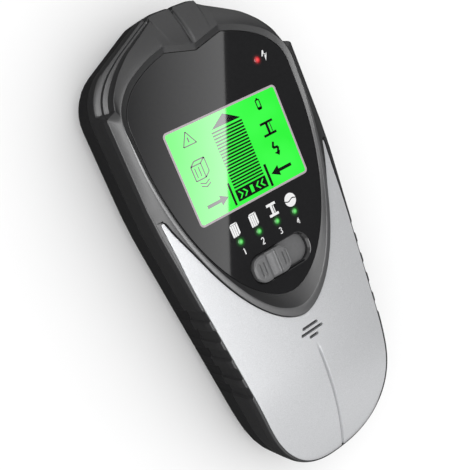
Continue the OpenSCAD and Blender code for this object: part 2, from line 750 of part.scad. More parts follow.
module battery_door() {
  color([0.12, 0.12, 0.12]) difference() {
    union() {
      block(-door_w / 2, door_w / 2, hinge_y, door_end_y, 0, door_t);
      translate([-door_w / 2, hinge_y, barrel_r]) rotate([0, 90, 0]) cylinder(r = barrel_r, h = door_w);
      translate([-bay_half_w - bay_wall, hinge_y, barrel_r]) rotate([0, 90, 0])
        cylinder(r = pin_r, h = 2 * (bay_half_w + bay_wall));
    }
    for (i = [0:2]) block(-5, 5, door_end_y - 6 - i * 2, door_end_y - 5 - i * 2, -1, 0.5);
    block(-3.5, 3.5, door_end_y - 1, door_end_y + 1, -1, 0.9);
    block(-door_w / 2 + 2, door_w / 2 - 2, hinge_y + barrel_r - 0.4, hinge_y + barrel_r + 0.4,
      door_t - 0.4, 6);
  }
}
module door_pad() {
  color([0.3, 0.3, 0.3]) translate([0, battery_y + 22, door_t]) plate(20, 30, pad_t, 1);
}

module screw(r, head_radius, head_h, length) {
  difference() {
    cylinder(r = head_radius, h = head_h);
    for (a = [0, 90]) rotate([0, 0, a])
      block(-0.3, 0.3, -head_radius * 0.65, head_radius * 0.65, -1, head_h * 0.5);
  }
  translate([0, 0, head_h - 0.01]) cylinder(r = r, h = length);
}
module case_screws() {
  color([0.65, 0.65, 0.67]) for (p = screw_places) translate([p[0], p[1], 3.2])
    screw(screw_r, screw_head_r, 1.8, crown_z - 12.5);
}
module pcb_screws() {
  color([0.65, 0.65, 0.67]) for (p = pcb_screw_places) translate([p[0], p[1], pcb_z - 1.25])
    screw(small_screw_r, 1.7, 1.2, pcb_t + 3.5);
}
module sensor_screws() {
  color([0.65, 0.65, 0.67]) for (p = sensor_screw_places)
    translate([p[0], p[1], sensor_z + 2.45]) mirror([0, 0, 1]) screw(small_screw_r, 1.7, 1.2, 3.1);
}

back_shell();
front_shell();
silver_cover();
window_lens();
window_mask();
lcd_frame();
lcd_glass();
lcd_backlight();
zebra_strips();
main_pcb();
mcu_chip();
crystal();
capacitor();
mode_leds();
light_pipes();
warning_led();
warning_light_pipe();
mode_knob();
mode_switch_slider();
mode_switch_body();
scan_button();
tact_switch_stub();
tact_switch_body();
sensor_board();
metal_coil();
coil_former();
board_header();
buzzer();
buzzer_leads();
battery_9v();
battery_terminals();
battery_snap();
lead_red();
lead_black();
battery_door();
door_pad();
case_screws();
pcb_screws();
sensor_screws();
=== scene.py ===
import math

import bmesh
import bpy
import numpy as np
from mathutils import Matrix, Vector
from mathutils.geometry import tessellate_polygon


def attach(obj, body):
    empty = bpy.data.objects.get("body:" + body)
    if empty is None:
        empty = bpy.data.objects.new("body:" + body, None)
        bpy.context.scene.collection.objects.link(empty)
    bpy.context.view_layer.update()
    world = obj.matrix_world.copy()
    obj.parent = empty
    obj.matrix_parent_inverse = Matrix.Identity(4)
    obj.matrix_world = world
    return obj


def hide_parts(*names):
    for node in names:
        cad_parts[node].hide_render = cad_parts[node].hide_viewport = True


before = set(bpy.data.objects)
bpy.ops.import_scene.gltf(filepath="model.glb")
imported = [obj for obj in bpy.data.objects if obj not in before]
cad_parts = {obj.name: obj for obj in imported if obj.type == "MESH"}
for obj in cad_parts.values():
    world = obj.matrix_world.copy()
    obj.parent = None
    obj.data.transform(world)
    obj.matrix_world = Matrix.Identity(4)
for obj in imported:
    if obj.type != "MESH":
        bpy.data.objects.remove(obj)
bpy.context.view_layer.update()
MM = 0.001

# Sizes of the case in millimetres, as in the CAD model
HEAD_Y, TAIL_Y, HALF_W = 77.5, -77.5, 35.1
TAPER_Y, TAPER = 21.4, 0.105
SPLIT_Z, WINDOW_Z, CROWN_Z, CROWN_R = 14.0, 26.4, 27.2, 300.0
RECESS_Y = 55.6
LCD_Y, LAMP_Y, KNOB_Y, BUZZER_Y = 29.7, 5.6, -5.4, -31.1
LCD_W, LCD_H = 43.1, 29.9
LAMP_PITCH = 7.4
WARNING = (19.0, 53.3)
KNOB_L, KNOB_W, KNOB_X = 14.2, 8.4, -11.3
GROOVE_Y, GROOVE_PITCH, GROOVES = -9.6, 7.0, 5
# Half length of a grip notch, its depth in the wall, and the width over which its ends slope
NOTCH_HALF, NOTCH_DEPTH, NOTCH_RAMP = 2.15, 0.72, 0.55
# Top of the silver cover's horns, and where their tips begin to close
HORN_Y, TIP_Y = 21.6, 20.7
# No point of the silver cover is above this; the head is
HEAD_START_Y = 40
# Sound slots in the cover: distance from the buzzer's centre line, and length
SOUND_SLOTS = ((1.8, 6.6), (0.0, 9.2), (-1.8, 3.8))
SOUND_SLOT_W = 1.0
# Groove from the sound slots to the tail: start, depth and half width
TAIL_GROOVE_Y, TAIL_GROOVE_DEPTH, TAIL_GROOVE_HALF = -37.4, 1.0, 0.6
CENTRE = np.array([0.0, 25.0])


# ---------------------------------------------------------------- small helpers
def srgb(*c):
    """Linear colour from 0-255 display values."""
    return tuple(((v / 255 + 0.055) / 1.055) ** 2.4 if v > 10 else v / 255 / 12.92 for v in c) + (1.0,)


def smooth(x, a, b):
    """Smooth step from 0 at a to 1 at b, which may be the smaller one."""
    t = np.clip((np.asarray(x, float) - a) / (b - a), 0, 1)
    return t * t * (3 - 2 * t)


def add_mesh(name, verts, faces, mat, angle=35):
    me = bpy.data.meshes.new(name)
    me.from_pydata([tuple(float(c) * MM for c in v) for v in verts], [], faces)
    bm = bmesh.new()
    bm.from_mesh(me)
    bmesh.ops.remove_doubles(bm, verts=bm.verts, dist=2e-7)
    bmesh.ops.dissolve_degenerate(bm, edges=bm.edges, dist=1e-8)
    bm.to_mesh(me)
    bm.free()
    me.shade_smooth()
    me.set_sharp_from_angle(angle=math.radians(angle))
    me.materials.append(mat)
    ob = bpy.data.objects.new(name, me)
    bpy.context.scene.collection.objects.link(ob)
    return ob


def rounded(a, c, b, r, steps):
    """Points of an arc of radius r in the corner c between a and b."""
    a, c, b = (np.array(p, float) for p in (a, c, b))
    u, v = (a - c) / np.linalg.norm(a - c), (b - c) / np.linalg.norm(b - c)
    half = math.acos(float(u @ v)) / 2
    m = (u + v) / np.linalg.norm(u + v)
    o = c + m * r / math.sin(half)
    s = c + u * r / math.tan(half) - o
    start, d = math.atan2(s[1], s[0]), (c - a)
    e = b - c
    turn = (math.pi - 2 * half) * np.sign(d[0] * e[1] - d[1] * e[0])
    return [o + r * np.array([math.cos(start + turn * i / steps), math.sin(start + turn * i / steps)])
            for i in range(steps + 1)]


def catmull(points, steps=12):
    """A smooth curve through the points."""
    p = [np.array(q, float) for q in points]
    p = [2 * p[0] - p[1]] + p + [2 * p[-1] - p[-2]]
    out = []
    for i in range(1, len(p) - 2):
        for k in range(steps):
            t = k / steps
            out.append(0.5 * (2 * p[i] + (p[i + 1] - p[i - 1]) * t
                              + (2 * p[i - 1] - 5 * p[i] + 4 * p[i + 1] - p[i + 2]) * t * t
                              + (3 * p[i] - p[i - 1] - 3 * p[i + 1] + p[i + 2]) * t ** 3))
    return out + [p[-2]]


def polar(points):
    """A function giving the right-hand half curve's point at each polar angle about CENTRE."""
    p = np.array(points, float)
    s = np.concatenate([[0], np.cumsum(np.hypot(*np.diff(p, axis=0).T))])
    t = np.unique(np.concatenate([s, np.linspace(0, s[-1], 1500)]))
    q = np.stack([np.interp(t, s, p[:, 0]), np.interp(t, s, p[:, 1])], 1) - CENTRE
    ang, rad = np.arctan2(q[:, 1], q[:, 0]), np.hypot(q[:, 0], q[:, 1])
    order = np.argsort(ang)
    ang, rad = ang[order], rad[order]
    return lambda a: np.interp(a, ang, rad)


def ang_of(x, y):
    """Polar angle of a point about CENTRE."""
    return math.atan2(y - CENTRE[1], x - CENTRE[0])


# ---------------------------------------------------------------- outlines (right-hand halves)
def side_x(y):
    """Half width of the case beside its tapering sides."""
    return HALF_W - TAPER * max(0.0, TAPER_Y - y)


def bowl(half, top_y, length, power, n=90):
    """Superellipse quarter from its low tip out to the side."""
    out = []
    for i in range(n + 1):
        a = math.pi / 2 * i / n
        out.append((half * math.sin(a) ** (2 / power), top_y - length * max(0.0, math.cos(a)) ** (2 / power)))
    return out


case_half = []
for k in range(61):
    a = math.pi / 2 * k / 60
    y = TAIL_Y + 27.5 - 27.5 * max(0.0, math.cos(a)) ** (2 / 2.4)
    case_half.append((side_x(y) * math.sin(a) ** (2 / 2.4), y))
shoulder, nose_corner = (HALF_W, 63.2), (8.1, HEAD_Y)
case_half += [tuple(p) for p in rounded(case_half[-1], (HALF_W, TAPER_Y), shoulder, 150, 6)]
case_half += [tuple(p) for p in rounded((HALF_W, 0), shoulder, nose_corner, 16, 30)]
case_half += [tuple(p) for p in rounded(shoulder, nose_corner, (0, HEAD_Y), 10, 10)]
case_half.append((0.0, HEAD_Y))

window_half = bowl(30.1, 40.0, 56.6, 1.87) + catmull(
    [(30.1, 40.0), (30.1, 45.5), (30.0, 50.2), (29.2, 53.6), (27.6, 56.2), (24.6, 59.3), (20.5, 61.9),
     (15.4, 64.1), (10.3, 65.6)]) + [(0.0, 63.1)]
bezel_half = bowl(31.8, 40.0, 64.7, 1.77) + catmull(
    [(31.8, 40.0), (31.8, 45.5), (31.7, 50.6), (30.7, 54.5), (28.9, 57.5), (25.6, 60.9), (21.2, 63.5),
     (15.9, 65.8), (10.0, 67.4)]) + [(0.0, 64.9)]
case_r, window_r, bezel_r = polar(case_half), polar(window_half), polar(bezel_half)


def arc_angles():
    """Polar angles, dense along the case outline, plus the sharp points of the bezel."""
    p = np.array(case_half)
    s = np.concatenate([[0], np.cumsum(np.hypot(*np.diff(p, axis=0).T))])
    t = np.linspace(0, s[-1], int(s[-1] / 0.4))
    x, y = np.interp(t, s, p[:, 0]), np.interp(t, s, p[:, 1])
    a = list(np.arctan2(y - CENTRE[1], x - CENTRE[0]))
    a += [ang_of(10.3, 65.6), ang_of(10.0, 67.4)]
    a += [ang_of(dx, TAIL_Y) for dx in (0.2, 0.4, 0.6, 0.8, 1.0, 1.2, 1.5)]
    a = np.array(sorted(a))
    return a[np.concatenate([[True], np.diff(a) > 1e-5])]


HALF_ANGLES = arc_angles()


def ring_xy(radius):
    """Closed ring of points (right half upward, left half downward) at the polar radius function."""
    r = radius(HALF_ANGLES)
    x, y = CENTRE[0] + r * np.cos(HALF_ANGLES), CENTRE[1] + r * np.sin(HALF_ANGLES)
    x[0] = x[-1] = 0.0
    right = np.stack([x, y], 1)
    left = right[-2:0:-1] * [-1, 1]
    return np.concatenate([right, left])


CASE = ring_xy(case_r)
_t = np.roll(CASE, -1, 0) - np.roll(CASE, 1, 0)
_t /= np.linalg.norm(_t, axis=1)[:, None]
NORMAL_IN = np.stack([-_t[:, 1], _t[:, 0]], 1)
WINDOW, BEZEL = ring_xy(window_r), ring_xy(bezel_r)
COUNT = len(CASE)


def inset(d):
    """The case outline moved inwards by d, one value or one for each point."""
    return CASE + NORMAL_IN * np.broadcast_to(d, (COUNT,))[:, None]


def fall(y):
    """How far the front has dropped towards the nose and the tail."""
    nose = 30 - np.sqrt(900 - np.clip(y - 62, 0, 20) ** 2)
    tail = 82 - np.sqrt(82 ** 2 - np.clip(-38 - y, 0, 45) ** 2)
    return nose + tail


def crown(xy):
    """Height of the crowned front surface."""
    return CROWN_Z - xy[:, 0] ** 2 / (2 * CROWN_R) - fall(xy[:, 1])


def edge_z(xy):
    """Height of the front face's outer edge."""
    return 26.55 - 1.4 * (np.abs(xy[:, 0]) / 34) ** 2 - fall(xy[:, 1])


def loft(rings, closed=True, caps=()):
    """Vertices and quads through rings of equal length; each ring is (xy, z)."""
    verts, n = [], len(rings[0][0])
    for xy, z in rings:
        z = np.broadcast_to(z, (n,))
        verts += [(xy[i][0], xy[i][1], z[i]) for i in range(n)]
    faces = []
    for k in range(len(rings) - 1):
        for i in range(n if closed else n - 1):
            j = (i + 1) % n
            faces.append((k * n + i, k * n + j, (k + 1) * n + j, (k + 1) * n + i))
    if "low" in caps:
        faces.append(tuple(range(n - 1, -1, -1)))
    if "high" in caps:
        faces.append(tuple(range((len(rings) - 1) * n, len(rings) * n)))
    return verts, faces


def flat(outlines, z):
    """A flat sheet with holes: the first outline is the border."""
    loops = [[Vector((p[0], p[1], 0)) for p in o] for o in outlines]
    tris = tessellate_polygon(loops)
    verts = [(p[0], p[1], z) for o in outlines for p in o]
    out = []
    for a, b, c in tris:
        pa, pb, pc = (np.array(verts[i][:2]) for i in (a, b, c))
        cross = (pb[0] - pa[0]) * (pc[1] - pa[1]) - (pb[1] - pa[1]) * (pc[0] - pa[0])
        if abs(cross) > 1e-9:
            out.append((a, b, c) if cross > 0 else (a, c, b))
    return verts, out


def join(*parts):
    """Several (verts, faces) as one."""
    verts, faces = [], []
    for v, f in parts:
        n = len(verts)
        verts += list(v)
        faces += [tuple(i + n for i in g) for g in f]
    return verts, faces


def round_rect(cx, cy, w, h, r, n=10):
    """Outline of a rectangle with round corners."""
    out = []
    for sx, sy, a0 in ((1, -1, -90), (1, 1, 0), (-1, 1, 90), (-1, -1, 180)):
        for k in range(n + 1):
            a = math.radians(a0 + 90 * k / n)
            out.append((cx + sx * (w / 2 - r) + r * math.cos(a), cy + sy * (h / 2 - r) + r * math.sin(a)))
    return out


def prism(outline, z0, z1, bevel=0.0):
    """A solid plate with a small bevel round its top edge."""
    p = np.array(outline, float)
    rings = [(p, z0), (p, z1 - bevel)]
    if bevel:
        c = p.mean(0)
        t = np.roll(p, -1, 0) - np.roll(p, 1, 0)
        t /= np.maximum(np.linalg.norm(t, axis=1), 1e-9)[:, None]
        q = p + np.stack([-t[:, 1], t[:, 0]], 1) * bevel
        rings.append((q, z1))
    return loft(rings, caps=("low", "high"))


# ---------------------------------------------------------------- materials
def new_mat(name):
    """A material, its node tree and its shader."""
    m = bpy.data.materials.new(name)
    m.use_nodes = True
    nt = m.node_tree
    return m, nt, nt.nodes["Principled BSDF"]


def surface(name, colour, rough=0.45, spec=0.5, metallic=0.0, scale=900.0, vary=0.12, bump=0.0,
            bump_scale=4000.0, ior=1.5):
    """Procedural surface: fine colour variation and, where asked, a moulded or metallic grain."""
    m, nt, b = new_mat(name)
    coord = nt.nodes.new("ShaderNodeTexCoord")
    noise = nt.nodes.new("ShaderNodeTexNoise")
    noise.inputs["Scale"].default_value = scale
    noise.inputs["Detail"].default_value = 3
    ramp = nt.nodes.new("ShaderNodeValToRGB")
    for e, k, pos in zip(ramp.color_ramp.elements, (1 - vary, 1 + vary), (0.3, 0.7)):
        e.position = pos
        e.color = tuple(min(1.0, c * k) for c in colour[:3]) + (1,)
    nt.links.new(coord.outputs["Object"], noise.inputs["Vector"])
    nt.links.new(noise.outputs["Fac"], ramp.inputs["Fac"])
    nt.links.new(ramp.outputs["Color"], b.inputs["Base Color"])
    b.inputs["Roughness"].default_value = rough
    b.inputs["Specular IOR Level"].default_value = spec
    b.inputs["Metallic"].default_value = metallic
    b.inputs["IOR"].default_value = ior
    if bump:
        fine = nt.nodes.new("ShaderNodeTexNoise")
        fine.inputs["Scale"].default_value = bump_scale
        node = nt.nodes.new("ShaderNodeBump")
        node.inputs["Strength"].default_value = bump
        node.inputs["Distance"].default_value = 0.0001
        nt.links.new(coord.outputs["Object"], fine.inputs["Vector"])
        nt.links.new(fine.outputs["Fac"], node.inputs["Height"])
        nt.links.new(node.outputs["Normal"], b.inputs["Normal"])
    return m


def add_glow(m, spots, inner, outer, colour, strength):
    """Light that fades with distance from each spot (mm)."""
    nt = m.node_tree
    b = nt.nodes["Principled BSDF"]
    coord = nt.nodes.new("ShaderNodeTexCoord")
    total = None
    for x, y in spots:
        dist = nt.nodes.new("ShaderNodeVectorMath")
        dist.operation = "DISTANCE"
        dist.inputs[1].default_value = (x * MM, y * MM, WINDOW_Z * MM)
        fade = nt.nodes.new("ShaderNodeMapRange")
        fade.interpolation_type = "SMOOTHSTEP"
        fade.inputs["From Min"].default_value = outer * MM
        fade.inputs["From Max"].default_value = inner * MM
        nt.links.new(coord.outputs["Object"], dist.inputs[0])
        nt.links.new(dist.outputs["Value"], fade.inputs["Value"])
        if total is None:
            total = fade.outputs["Result"]
        else:
            add = nt.nodes.new("ShaderNodeMath")
            add.operation = "ADD"
            nt.links.new(total, add.inputs[0])
            nt.links.new(fade.outputs["Result"], add.inputs[1])
            total = add.outputs["Value"]
    return total, colour, strength


def glow(m, terms):
    """Sums the glows into the emission of a material."""
    nt = m.node_tree
    b = nt.nodes["Principled BSDF"]
    mixed = None
    for total, colour, strength in terms:
        scale = nt.nodes.new("ShaderNodeVectorMath")
        scale.operation = "SCALE"
        scale.inputs[0].default_value = tuple(c * strength for c in colour[:3])
        nt.links.new(total, scale.inputs["Scale"])
        if mixed is None:
            mixed = scale.outputs["Vector"]
        else:
            add = nt.nodes.new("ShaderNodeVectorMath")
            add.operation = "ADD"
            nt.links.new(mixed, add.inputs[0])
            nt.links.new(scale.outputs["Vector"], add.inputs[1])
            mixed = add.outputs["Vector"]
    nt.links.new(mixed, b.inputs["Emission Color"])
    b.inputs["Emission Strength"].default_value = 1.0


black_shell = surface("face_black", srgb(34, 34, 35), rough=0.42, spec=0.55, vary=0.08, bump=0.10)
# Painted highlight: the chamfer round the window is the same black plastic in a lighter grey so that it reads as
# lit, and a little glossier.
chamfer_painted_highlight = surface("face_chamfer", srgb(74, 74, 75), rough=0.34, spec=0.8, vary=0.06, bump=0.08)
black_side = surface("side_black", srgb(27, 27, 28), rough=0.55, spec=0.2, vary=0.08, bump=0.15)
silver = surface("silver_paint", srgb(184, 185, 187), rough=0.4, spec=0.5, metallic=0.25, scale=3200.0,
                 vary=0.09, bump=0.08, bump_scale=3000.0)
panel_black = surface("panel_black", srgb(32, 32, 33), rough=0.03, spec=0.45, vary=0.06)
lcd_green = surface("lcd_green", srgb(8, 20, 8), rough=0.03, spec=1.0, vary=0.05, ior=1.8)
lcd_ink = surface("lcd_ink", srgb(4, 6, 4), rough=0.03, spec=1.0, vary=0.05, ior=1.8)
lcd_rim = surface("lcd_rim", srgb(170, 160, 165), rough=0.3, spec=0.4, vary=0.03)
white_ink = surface("white_ink", srgb(225, 225, 225), rough=0.4, spec=0.2, vary=0.02)
knob_grey = surface("knob_grey", srgb(92, 92, 93), rough=0.45, spec=0.4, vary=0.06, bump=0.06)
dark_gap = surface("dark_gap", srgb(8, 8, 8), rough=0.9, spec=0.05, vary=0.1)
lamp_green = surface("lamp_green", srgb(20, 60, 20), rough=0.2, spec=0.4, vary=0.04)
lamp_red = surface("lamp_red", srgb(80, 10, 10), rough=0.2, spec=0.4, vary=0.04)

GREEN_SPOTS = [((i - 1.5) * LAMP_PITCH, LAMP_Y) for i in range(4)]
glow(lamp_green, [add_glow(lamp_green, GREEN_SPOTS, 0.15, 1.0, srgb(120, 225, 125), 0.9),
                  add_glow(lamp_green, GREEN_SPOTS, 0.7, 1.3, srgb(10, 110, 20), 0.9)])
glow(lamp_red, [add_glow(lamp_red, [WARNING], 0.1, 1.15, srgb(235, 70, 75), 1.0),
                add_glow(lamp_red, [WARNING], 0.7, 1.4, srgb(120, 10, 12), 0.8)])
# Painted light: the black panel glows green round the mode lamps and red round the warning lamp, standing in for
# the lamps' light falling on it.
glow(panel_black, [add_glow(panel_black, GREEN_SPOTS, 0.8, 2.0, srgb(8, 70, 16), 1.0),
                   add_glow(panel_black, [WARNING], 0.8, 2.0, srgb(80, 14, 16), 0.8)])


def lcd_light(m):
    """Even green light with a faint unevenness of the light guide."""
    nt = m.node_tree
    coord = nt.nodes.new("ShaderNodeTexCoord")
    noise = nt.nodes.new("ShaderNodeTexNoise")
    noise.inputs["Scale"].default_value = 60
    ramp = nt.nodes.new("ShaderNodeValToRGB")
    ramp.color_ramp.elements[0].position, ramp.color_ramp.elements[1].position = 0.35, 0.65
    ramp.color_ramp.elements[0].color = srgb(44, 246, 58)
    ramp.color_ramp.elements[1].color = srgb(60, 255, 74)
    nt.links.new(coord.outputs["Object"], noise.inputs["Vector"])
    nt.links.new(noise.outputs["Fac"], ramp.inputs["Fac"])
    nt.links.new(ramp.outputs["Color"], nt.nodes["Principled BSDF"].inputs["Emission Color"])
    nt.nodes["Principled BSDF"].inputs["Emission Strength"].default_value = 1.0


lcd_light(lcd_green)

# ---------------------------------------------------------------- front casing
recess = smooth(CASE[:, 1], RECESS_Y - 1.4, RECESS_Y + 1.0) * smooth(np.abs(CASE[:, 0]), 8.5, 9.3)
on_side = smooth(np.abs(CASE[:, 0]), 18, 22)
notch = np.zeros(COUNT)
for g in range(GROOVES):
    notch += smooth(NOTCH_HALF - np.abs(CASE[:, 1] - (GROOVE_Y - GROOVE_PITCH * g)), 0, NOTCH_RAMP)
notch = np.clip(notch, 0, 1) * on_side
# The marking notch in the end of the nose
nick = 0.8 * smooth(0.9 - np.abs(CASE[:, 0]), 0, 0.8) * (CASE[:, 1] > 70)

# Width of the rim: full beside the silver cover, narrow round the head
RIM_IN, RIM_HEAD = 0.95, 0.5
in_rim = RIM_HEAD + (RIM_IN - RIM_HEAD) * smooth(CASE[:, 1], 26, 19)
# Outer edge of the silver cover: closer to the wall at the tail, further from it along the horns
below_head = CASE[:, 1] < HEAD_START_Y
cover_in = 1.3 - 0.35 * smooth(-CASE[:, 1], 66, 76) + 0.85 * smooth(CASE[:, 1], -5, 19) * below_head
COVER = inset(cover_in)
# 1 where the face is sunk to take the cover
pocket = smooth(CASE[:, 1], HORN_Y + 0.4, HORN_Y)


def rim_profile():
    """Rings from the parting line up the wall, over the rim or down into the head recess."""
    wall_in = NOTCH_DEPTH * notch + nick
    flush = smooth(CASE[:, 1], 27, 21.5)
    top = edge_z(CASE) * (1 - flush) + (crown(inset(RIM_IN)) - 0.05) * flush
    k = recess
    shallow = 0.45 + 0.55 * smooth(np.abs(CASE[:, 0]), 20, 32)
    rings = [(inset(wall_in + 0.22), SPLIT_Z + 0.02), (inset(wall_in + 0.05), SPLIT_Z + 0.1),
             (inset(wall_in), SPLIT_Z + 0.3)]
    #             normal (inset, z)                     in the recess
    low = top - 1.75 - 0.5 * flush
    steps = [
        (wall_in, low - 3.2, 0.0, 17.9),
        (wall_in, low - 2.0, 0.12, 18.75),
        (wall_in, low - 0.6, 0.5, 19.15),
        (wall_in, low - 0.12, 1.2, 19.35),
        (wall_in * 0.97 + 0.05, low, 1.9, 19.45),
        (0.5 * in_rim + 0.45 * notch, top - 0.95, 2.0, 19.55),
        (in_rim - 0.12 + 0.12 * notch, top - 0.22, 2.05, 20.65),
        (in_rim - 0.05 + 0.10 * notch, top - 0.1, 2.12, 20.8),
        (in_rim + 0.02 + 0.08 * notch, top - 0.03, 2.35, 20.87),
        (in_rim + 0.08 + 0.06 * notch, top, 3.25, 20.95),
        (in_rim + 0.10 + 0.05 * notch, top, 3.5, 21.1),
        (in_rim + 0.11 + 0.04 * notch, top, 3.55, 26.0),
        (in_rim + 0.12 + 0.03 * notch, top, 3.62, 27.0),
        (in_rim + 0.13 + 0.02 * notch, top, 3.75, 28.0),
    ]
    # Beside the silver cover the rim is narrow, flat on top and cut right through by the grip notches
    beside = [(0.2, 0.6, 1.2), (0.42, 0.56, 0.45), (0.5, 0.52, 0.25), (0.62, 0.42, 0.08), (0.8, 0.26, 0),
              (0.95, 0.11, 0), (1.0, 0.06, 0), (1.04, 0.02, 0), (1.07, 0.0, 0)]
    for n, (a, za, b, zb) in enumerate(steps):
        if n >= 5:
            base, cut, drop = beside[n - 5]
            a = a * (1 - flush) + (base + cut * notch) * flush
            za = za * (1 - flush) + (top - drop) * flush
        limit = top - (0.25, 0.08, 0.0)[max(0, n - 11)] if n > 10 else top - 0.4
        height = za * (1 - k) + np.minimum(zb, limit) * k
        rings.append((inset((a + nick) * (1 - k) + b * shallow * k), height))
    return rings


rim = rim_profile()
edge_xy, edge_h = rim[-1]
BEZEL_Y = BEZEL[:, 1]
crest_z = 26.9 + 1.1 * smooth(BEZEL_Y, 22, -22)
outer_z = crest_z - 0.12 - 0.1 * smooth(BEZEL_Y, 30, 0)
crest_k = np.where(BEZEL_Y > 20, 0.36 + 0.64 * smooth(WINDOW[:, 1], 22, 56),
                   0.36 + 0.27 * smooth(WINDOW[:, 1], 6, -16))
CREST = WINDOW + (BEZEL - WINDOW) * crest_k[:, None]

# Inner edge of the silver cover: a gap outside the bezel, leaving it where the horns narrow
on_cover = COVER[:, 1] < HEAD_START_Y
taper = np.clip((COVER[:, 1] + 2) / (HORN_Y + 2), 0, 1) ** 3 * on_cover
INNER = CENTRE + (BEZEL - CENTRE) * (1 + 0.33 / np.linalg.norm(BEZEL - CENTRE, axis=1))[:, None]
toward = (INNER - COVER) / np.linalg.norm(INNER - COVER, axis=1)[:, None]
INNER = INNER * (1 - taper)[:, None] + (COVER + toward * 1.1) * taper[:, None]
# Both edges of the cover close to a round tip at the end of each horn
tip = np.sqrt(np.clip(1 - (np.clip(COVER[:, 1] - TIP_Y, 0, 0.8) / 0.8) ** 2, 0.02, 1))
tip = np.where(on_cover, tip, 1.0)[:, None]
middle = (COVER + INNER) / 2
COVER, INNER = middle + (COVER - middle) * tip, middle + (INNER - middle) * tip
INNER_EDGE = INNER + toward * 0.25
cover_edge = COVER - toward * 0.2


def between(a, b, t):
    return a + (b - a) * t


def face_rings():
    """From the rim's inner edge across the face, or across the cover's pocket, to the window."""
    rings = []
    width = np.linalg.norm(BEZEL - edge_xy, axis=1)

    def face_z(xy):
        t = np.clip(np.linalg.norm(xy - edge_xy, axis=1) / width, 0, 1)
        return edge_h + (outer_z - edge_h) * (1 - (1 - t) ** 1.5)

    def add(xy, sunk):
        rings.append((xy, face_z(xy) * (1 - pocket * sunk) + (crown(xy) - 1.2) * pocket * sunk))

    p1 = pocket[:, None]
    start = edge_xy * (1 - p1) + cover_edge * p1
    stop = between(edge_xy, BEZEL, 0.5) * (1 - p1) + INNER_EDGE * p1
    add(start, 0.0)
    for t in (0.001, 0.1, 0.3, 0.5, 0.7, 0.9, 0.999):
        add(between(start, stop, t), 1.0)
    add(stop, 0.0)
    for t in (0.06, 0.25, 0.5, 0.75, 0.94):
        add(between(stop, BEZEL, t), 0.0)
    rings.append((BEZEL, outer_z))
    for t, s in ((0.06, 0.0), (0.2, 0.3), (0.6, 0.8), (0.94, 1.0)):
        rings.append((between(BEZEL, CREST, t), outer_z + s * (crest_z - outer_z)))
    low = WINDOW_Z - 0.12
    for t, s in ((0.0, 0.03), (0.06, 0.1), (0.5, 0.55), (0.95, 0.99), (1.0, 1.02)):
        rings.append((between(CREST, WINDOW, t), crest_z + (low - crest_z) * s))
    rings.append((WINDOW - (WINDOW - CENTRE) * 0.002, WINDOW_Z - 1.2))
    rings.append((WINDOW - (WINDOW - CENTRE) * 0.05, WINDOW_Z - 1.25))
    return rings


front = add_mesh("front_casing", *loft(rim + face_rings()), black_shell, angle=32)
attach(front, "case")
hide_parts("front_shell")


def paint_chamfer_highlight(ob):
    """The chamfer round the window has its own material: a lighter grey than the black face, which is a painted
    highlight, and a little glossier.
    """
    half = COUNT // 2 + 1
    ang = np.arctan2(CREST[:half, 1] - CENTRE[1], CREST[:half, 0])
    crest_r = np.hypot(CREST[:half, 0], CREST[:half, 1] - CENTRE[1])
    ob.data.materials.append(chamfer_painted_highlight)
    for face in ob.data.polygons:
        x, y, z = (c / MM for c in face.center)
        a = math.atan2(y - CENTRE[1], abs(x))
        r = math.hypot(x, y - CENTRE[1])
        if z > WINDOW_Z - 0.5 and np.interp(a, ang, crest_r) < r < float(bezel_r(a)):
            face.material_index = 1


paint_chamfer_highlight(front)


def press_crease(ob):
    """Crease down the middle of the nose: a narrow V-shaped valley in the mesh."""
    for v in ob.data.vertices:
        x, y, z = (c / MM for c in v.co)
        if y > 64.5 and z > 19:
            deep = smooth(y, 64.9, 67.0) * max(0.0, 1 - abs(x) / 0.85)
            v.co.z = (z - float(deep)) * MM


press_crease(front)

# ---------------------------------------------------------------- silver cover
keep = [i for i in range(COUNT) if COVER[i, 1] < HORN_Y - 0.15]
split = next(k for k in range(len(keep) - 1) if keep[k + 1] - keep[k] > 1)
order = keep[split + 1:] + keep[:split + 1]
outer = COVER[order]
inner = INNER[order]
span = np.linalg.norm(inner - outer, axis=1)


def cover_rings():
    """Rings across the cover, from its outer edge to its inner one, both a little rounded."""
    rings = []
    for off, drop in ((0.0, 1.1), (0.0, 0.22), (0.07, 0.08), (0.2, 0.0)):
        rings.append((outer + (inner - outer) * np.minimum(off / span, 0.45)[:, None], drop))
    for t in np.linspace(0, 1, 42)[1:-1]:
        a, b = np.minimum(0.2 / span, 0.45), 1 - np.minimum(0.2 / span, 0.45)
        rings.append((outer + (inner - outer) * (a + (b - a) * t)[:, None], 0.0))
    for off, drop in ((0.2, 0.0), (0.07, 0.08), (0.0, 0.22), (0.0, 1.1)):
        rings.append((inner + (outer - inner) * np.minimum(off / span, 0.45)[:, None], drop))
    out = []
    for xy, drop in rings:
        z = crown(xy) - drop
        across = np.maximum(0, 1 - np.abs(xy[:, 0]) / TAIL_GROOVE_HALF)
        groove = across * smooth(xy[:, 1], TAIL_GROOVE_Y, TAIL_GROOVE_Y - 1)
        out.append((xy, z - TAIL_GROOVE_DEPTH * groove))
    return out


cover_verts, cover_faces = loft(cover_rings(), closed=False)
cols = len(order)
rows = len(cover_verts) // cols
cover_faces.append(tuple(r * cols for r in range(rows)))
cover_faces.append(tuple(r * cols + cols - 1 for r in range(rows - 1, -1, -1)))
bottom = [(i, (rows - 1) * cols + i, (rows - 1) * cols + i + 1, i + 1) for i in range(cols - 1)]
cover_faces += bottom
cover = add_mesh("silver_cover_skin", cover_verts, cover_faces, silver, angle=32)


